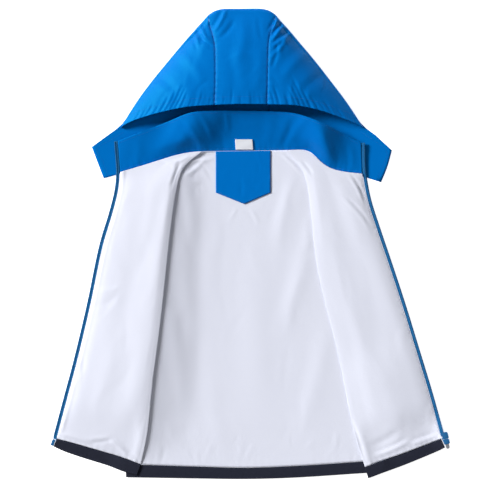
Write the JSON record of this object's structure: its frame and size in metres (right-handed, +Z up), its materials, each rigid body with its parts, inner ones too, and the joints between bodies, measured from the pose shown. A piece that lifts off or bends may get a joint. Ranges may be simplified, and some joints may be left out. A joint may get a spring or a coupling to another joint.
{
  "type": "kids raincoat",
  "caption": "Kids' hooded zip raincoat laid open on its back: blue shell, white lining, navy hem bands, gathered hood, bare neck label and a zip pull that hangs from its slider.",
  "frame": {"origin": "middle of the laid garment's footprint, on the surface that it lies on", "axes": "+X to the right of the laid garment seen from above, +Y from the hem towards the hood, +Z up out of the surface"},
  "size_m": [0.6982, 0.823, 0.0437],
  "materials": {
    "shell_blue": "coated polyester with a faint sheen",
    "lining_white": "matte",
    "hem_navy": "matte",
    "label_white": "satin",
    "zip_tape": "matte",
    "zip_plastic": "semi-gloss",
    "pull_metal": "satin"
  },
  "bodies": {
    "garment": {"back_shell": "shell_blue", "front_shell_left": "shell_blue", "front_shell_right": "shell_blue", "sleeve_left": "shell_blue", "sleeve_right": "shell_blue", "collar": "shell_blue", "hood_center": "shell_blue", "hood_side_left": "shell_blue", "hood_side_right": "shell_blue", "neck_patch": "shell_blue", "lining_back": "lining_white", "lining_front_left": "lining_white", "lining_front_right": "lining_white", "hem_band_back": "hem_navy", "hem_band_left": "hem_navy", "hem_band_right": "hem_navy", "neck_label": "label_white", "zip_tape_left": "zip_tape", "zip_tape_right": "zip_tape", "zip_slider": "zip_plastic", "zip_retainer": "zip_plastic", "zip_pin": "zip_plastic"},
    "pull": {"zip_pull": "pull_metal"}
  },
  "joints": [
    {"name": "pull_hinge", "type": "hinge", "parent": "garment", "child": "pull", "pos_m": [0.34126, -0.3376, 0.0019], "axis": [0.9703, 0.2419, 0], "range_deg": [0, 150]}
  ]
}
